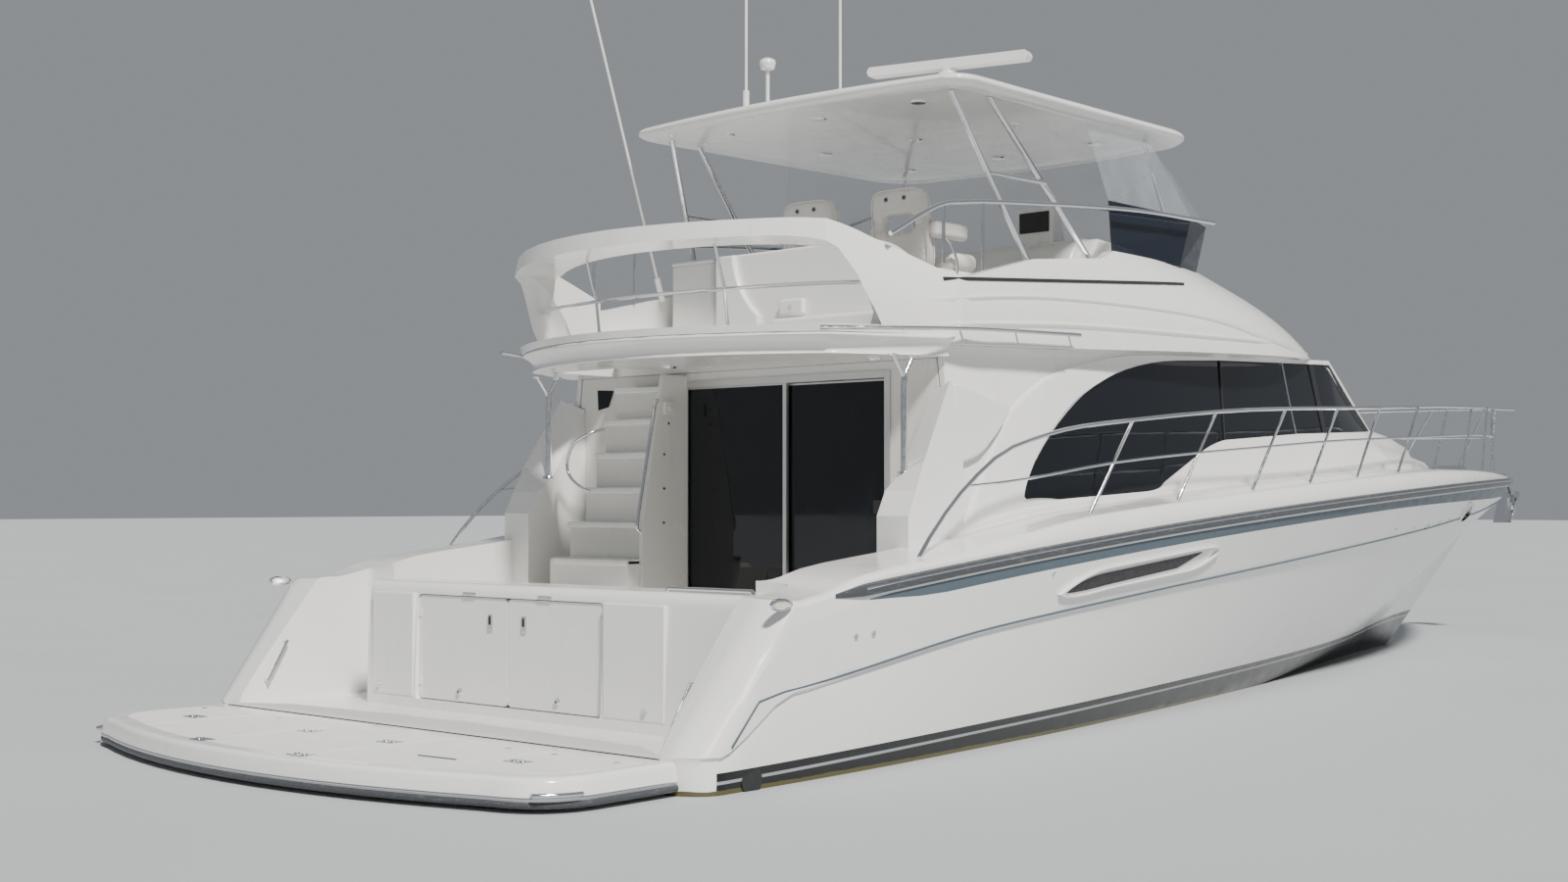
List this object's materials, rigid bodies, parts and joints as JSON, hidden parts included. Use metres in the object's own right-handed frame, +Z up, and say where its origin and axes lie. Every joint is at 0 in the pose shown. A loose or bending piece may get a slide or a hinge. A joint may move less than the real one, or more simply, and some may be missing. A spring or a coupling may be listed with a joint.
{
  "type": "flybridge motor yacht",
  "caption": "Flybridge motor yacht with hardtop, swim platform, glazed saloon, side and bow rails, stairs to the flybridge, and underwater shafts, propellers and rudders.",
  "frame": {"origin": "on the centreline at the waterline, at the foot of the transom", "axes": "+X forward to the bow, +Y to port, +Z up; the waterline is z = 0"},
  "size_m": [17.65, 4.9086, 8.1603],
  "materials": {
    "gelcoat": "white gelcoat, polished",
    "steel": "polished stainless steel",
    "bronze": "cast bronze",
    "dark_glass": "dark tinted glass",
    "tinted_acrylic": "smoke tinted acrylic",
    "clear_vinyl": "clear flexible vinyl sheet",
    "upholstery": "white marine vinyl over foam",
    "iron": "painted engine block",
    "joinery": "varnished cherry joinery",
    "black_plastic": "moulded black grip",
    "rub_strip": "grey vinyl fender strip"
  },
  "bodies": {
    "boat": {"aft_bulkhead": "gelcoat", "anchor": "steel", "anchor_roller": "steel", "antenna_aft": "gelcoat", "antenna_centre": "gelcoat", "antenna_port": "gelcoat", "bow_rail_port": "steel", "bow_rail_stbd": "steel", "clear_panels": "clear_vinyl", "cockpit_stairs": "gelcoat", "companion_seat": "upholstery", "deckhouse": "gelcoat", "engine_port": "iron", "engine_stbd": "iron", "fixed_door_leaf": "dark_glass", "flybridge_aft_rail": "steel", "flybridge_console": "gelcoat", "flybridge_deck": "gelcoat", "flybridge_lounge": "upholstery", "flybridge_moulding": "gelcoat", "flybridge_settee": "upholstery", "flybridge_side_rail_port": "steel", "flybridge_side_rail_stbd": "steel", "hardtop": "gelcoat", "hardtop_frame_port": "steel", "hardtop_frame_stbd": "steel", "helm_seat": "upholstery", "hull": "gelcoat", "overhang_pole_port": "steel", "overhang_pole_stbd": "steel", "radar_pedestal": "gelcoat", "rub_rail_port": "rub_strip", "rub_rail_stbd": "rub_strip", "saloon_fitout": "joinery", "shaft_port": "steel", "shaft_stbd": "steel", "side_fin_port": "gelcoat", "side_fin_stbd": "gelcoat", "side_window_port": "dark_glass", "side_window_stbd": "dark_glass", "swim_platform": "gelcoat", "transom_wall": "gelcoat", "trim_tab_port": "steel", "trim_tab_stbd": "steel", "wet_bar": "gelcoat", "wind_deflector": "tinted_acrylic", "windlass": "steel", "windscreen": "dark_glass"},
    "door": {"sliding_door_leaf": "dark_glass"},
    "gate": {"transom_gate": "gelcoat"},
    "locker_door_port": {"locker_door_port": "gelcoat"},
    "locker_door_stbd": {"locker_door_stbd": "gelcoat"},
    "hatch": {"hatch_lid": "tinted_acrylic"},
    "wheel": {"helm_wheel": "black_plastic"},
    "radar": {"radar_scanner": "gelcoat"},
    "propeller_port": {"propeller_port": "bronze"},
    "propeller_stbd": {"propeller_stbd": "bronze"},
    "rudder_port": {"rudder_port": "bronze"},
    "rudder_stbd": {"rudder_stbd": "bronze"}
  },
  "joints": [
    {"name": "sliding_door", "type": "slide", "parent": "boat", "child": "door", "axis": [0, 1, 0], "range_m": [0, 0.85]},
    {"name": "transom_gate", "type": "hinge", "parent": "boat", "child": "gate", "pos_m": [0.9215, 1.873, 0.765], "axis": [0, 0, 1], "range_deg": [0, 90]},
    {"name": "locker_door_port", "type": "hinge", "parent": "boat", "child": "locker_door_port", "pos_m": [0.484, 0.9053, 0.6], "axis": [0, 0, -1], "range_deg": [0, 90]},
    {"name": "locker_door_stbd", "type": "hinge", "parent": "boat", "child": "locker_door_stbd", "pos_m": [0.484, -0.9053, 0.6], "axis": [0, 0, 1], "range_deg": [0, 90]},
    {"name": "hatch_lid", "type": "hinge", "parent": "boat", "child": "hatch", "pos_m": [10.4555, 0, 2.3023], "axis": [0, 1, 0], "range_deg": [0, 80]},
    {"name": "helm_wheel", "type": "hinge", "parent": "boat", "child": "wheel", "pos_m": [5.259, -0.48, 3.315], "axis": [0.8242, 0, -0.5663], "range_deg": [-540, 540]},
    {"name": "radar_scanner", "type": "hinge", "parent": "boat", "child": "radar", "pos_m": [3.99, -0.8, 4.78], "axis": [0, 0, 1], "continuous": true},
    {"name": "propeller_port", "type": "hinge", "parent": "boat", "child": "propeller_port", "pos_m": [0.52, 0.78, -0.93], "axis": [0.9946, 0, 0.1038], "continuous": true},
    {"name": "propeller_stbd", "type": "hinge", "parent": "boat", "child": "propeller_stbd", "pos_m": [0.52, -0.78, -0.93], "axis": [0.9946, 0, 0.1038], "continuous": true},
    {"name": "rudder_stbd", "type": "hinge", "parent": "boat", "child": "rudder_stbd", "pos_m": [0.04, -0.78, -0.9], "axis": [0, 0, 1], "range_deg": [-35, 35]},
    {"name": "rudder_port", "type": "hinge", "parent": "boat", "child": "rudder_port", "pos_m": [0.04, 0.78, -0.9], "axis": [0, 0, 1], "range_deg": [-35, 35]}
  ],
  "couplings": [
    {"joint": "rudder_port", "follows": "rudder_stbd", "ratio": 1}
  ]
}
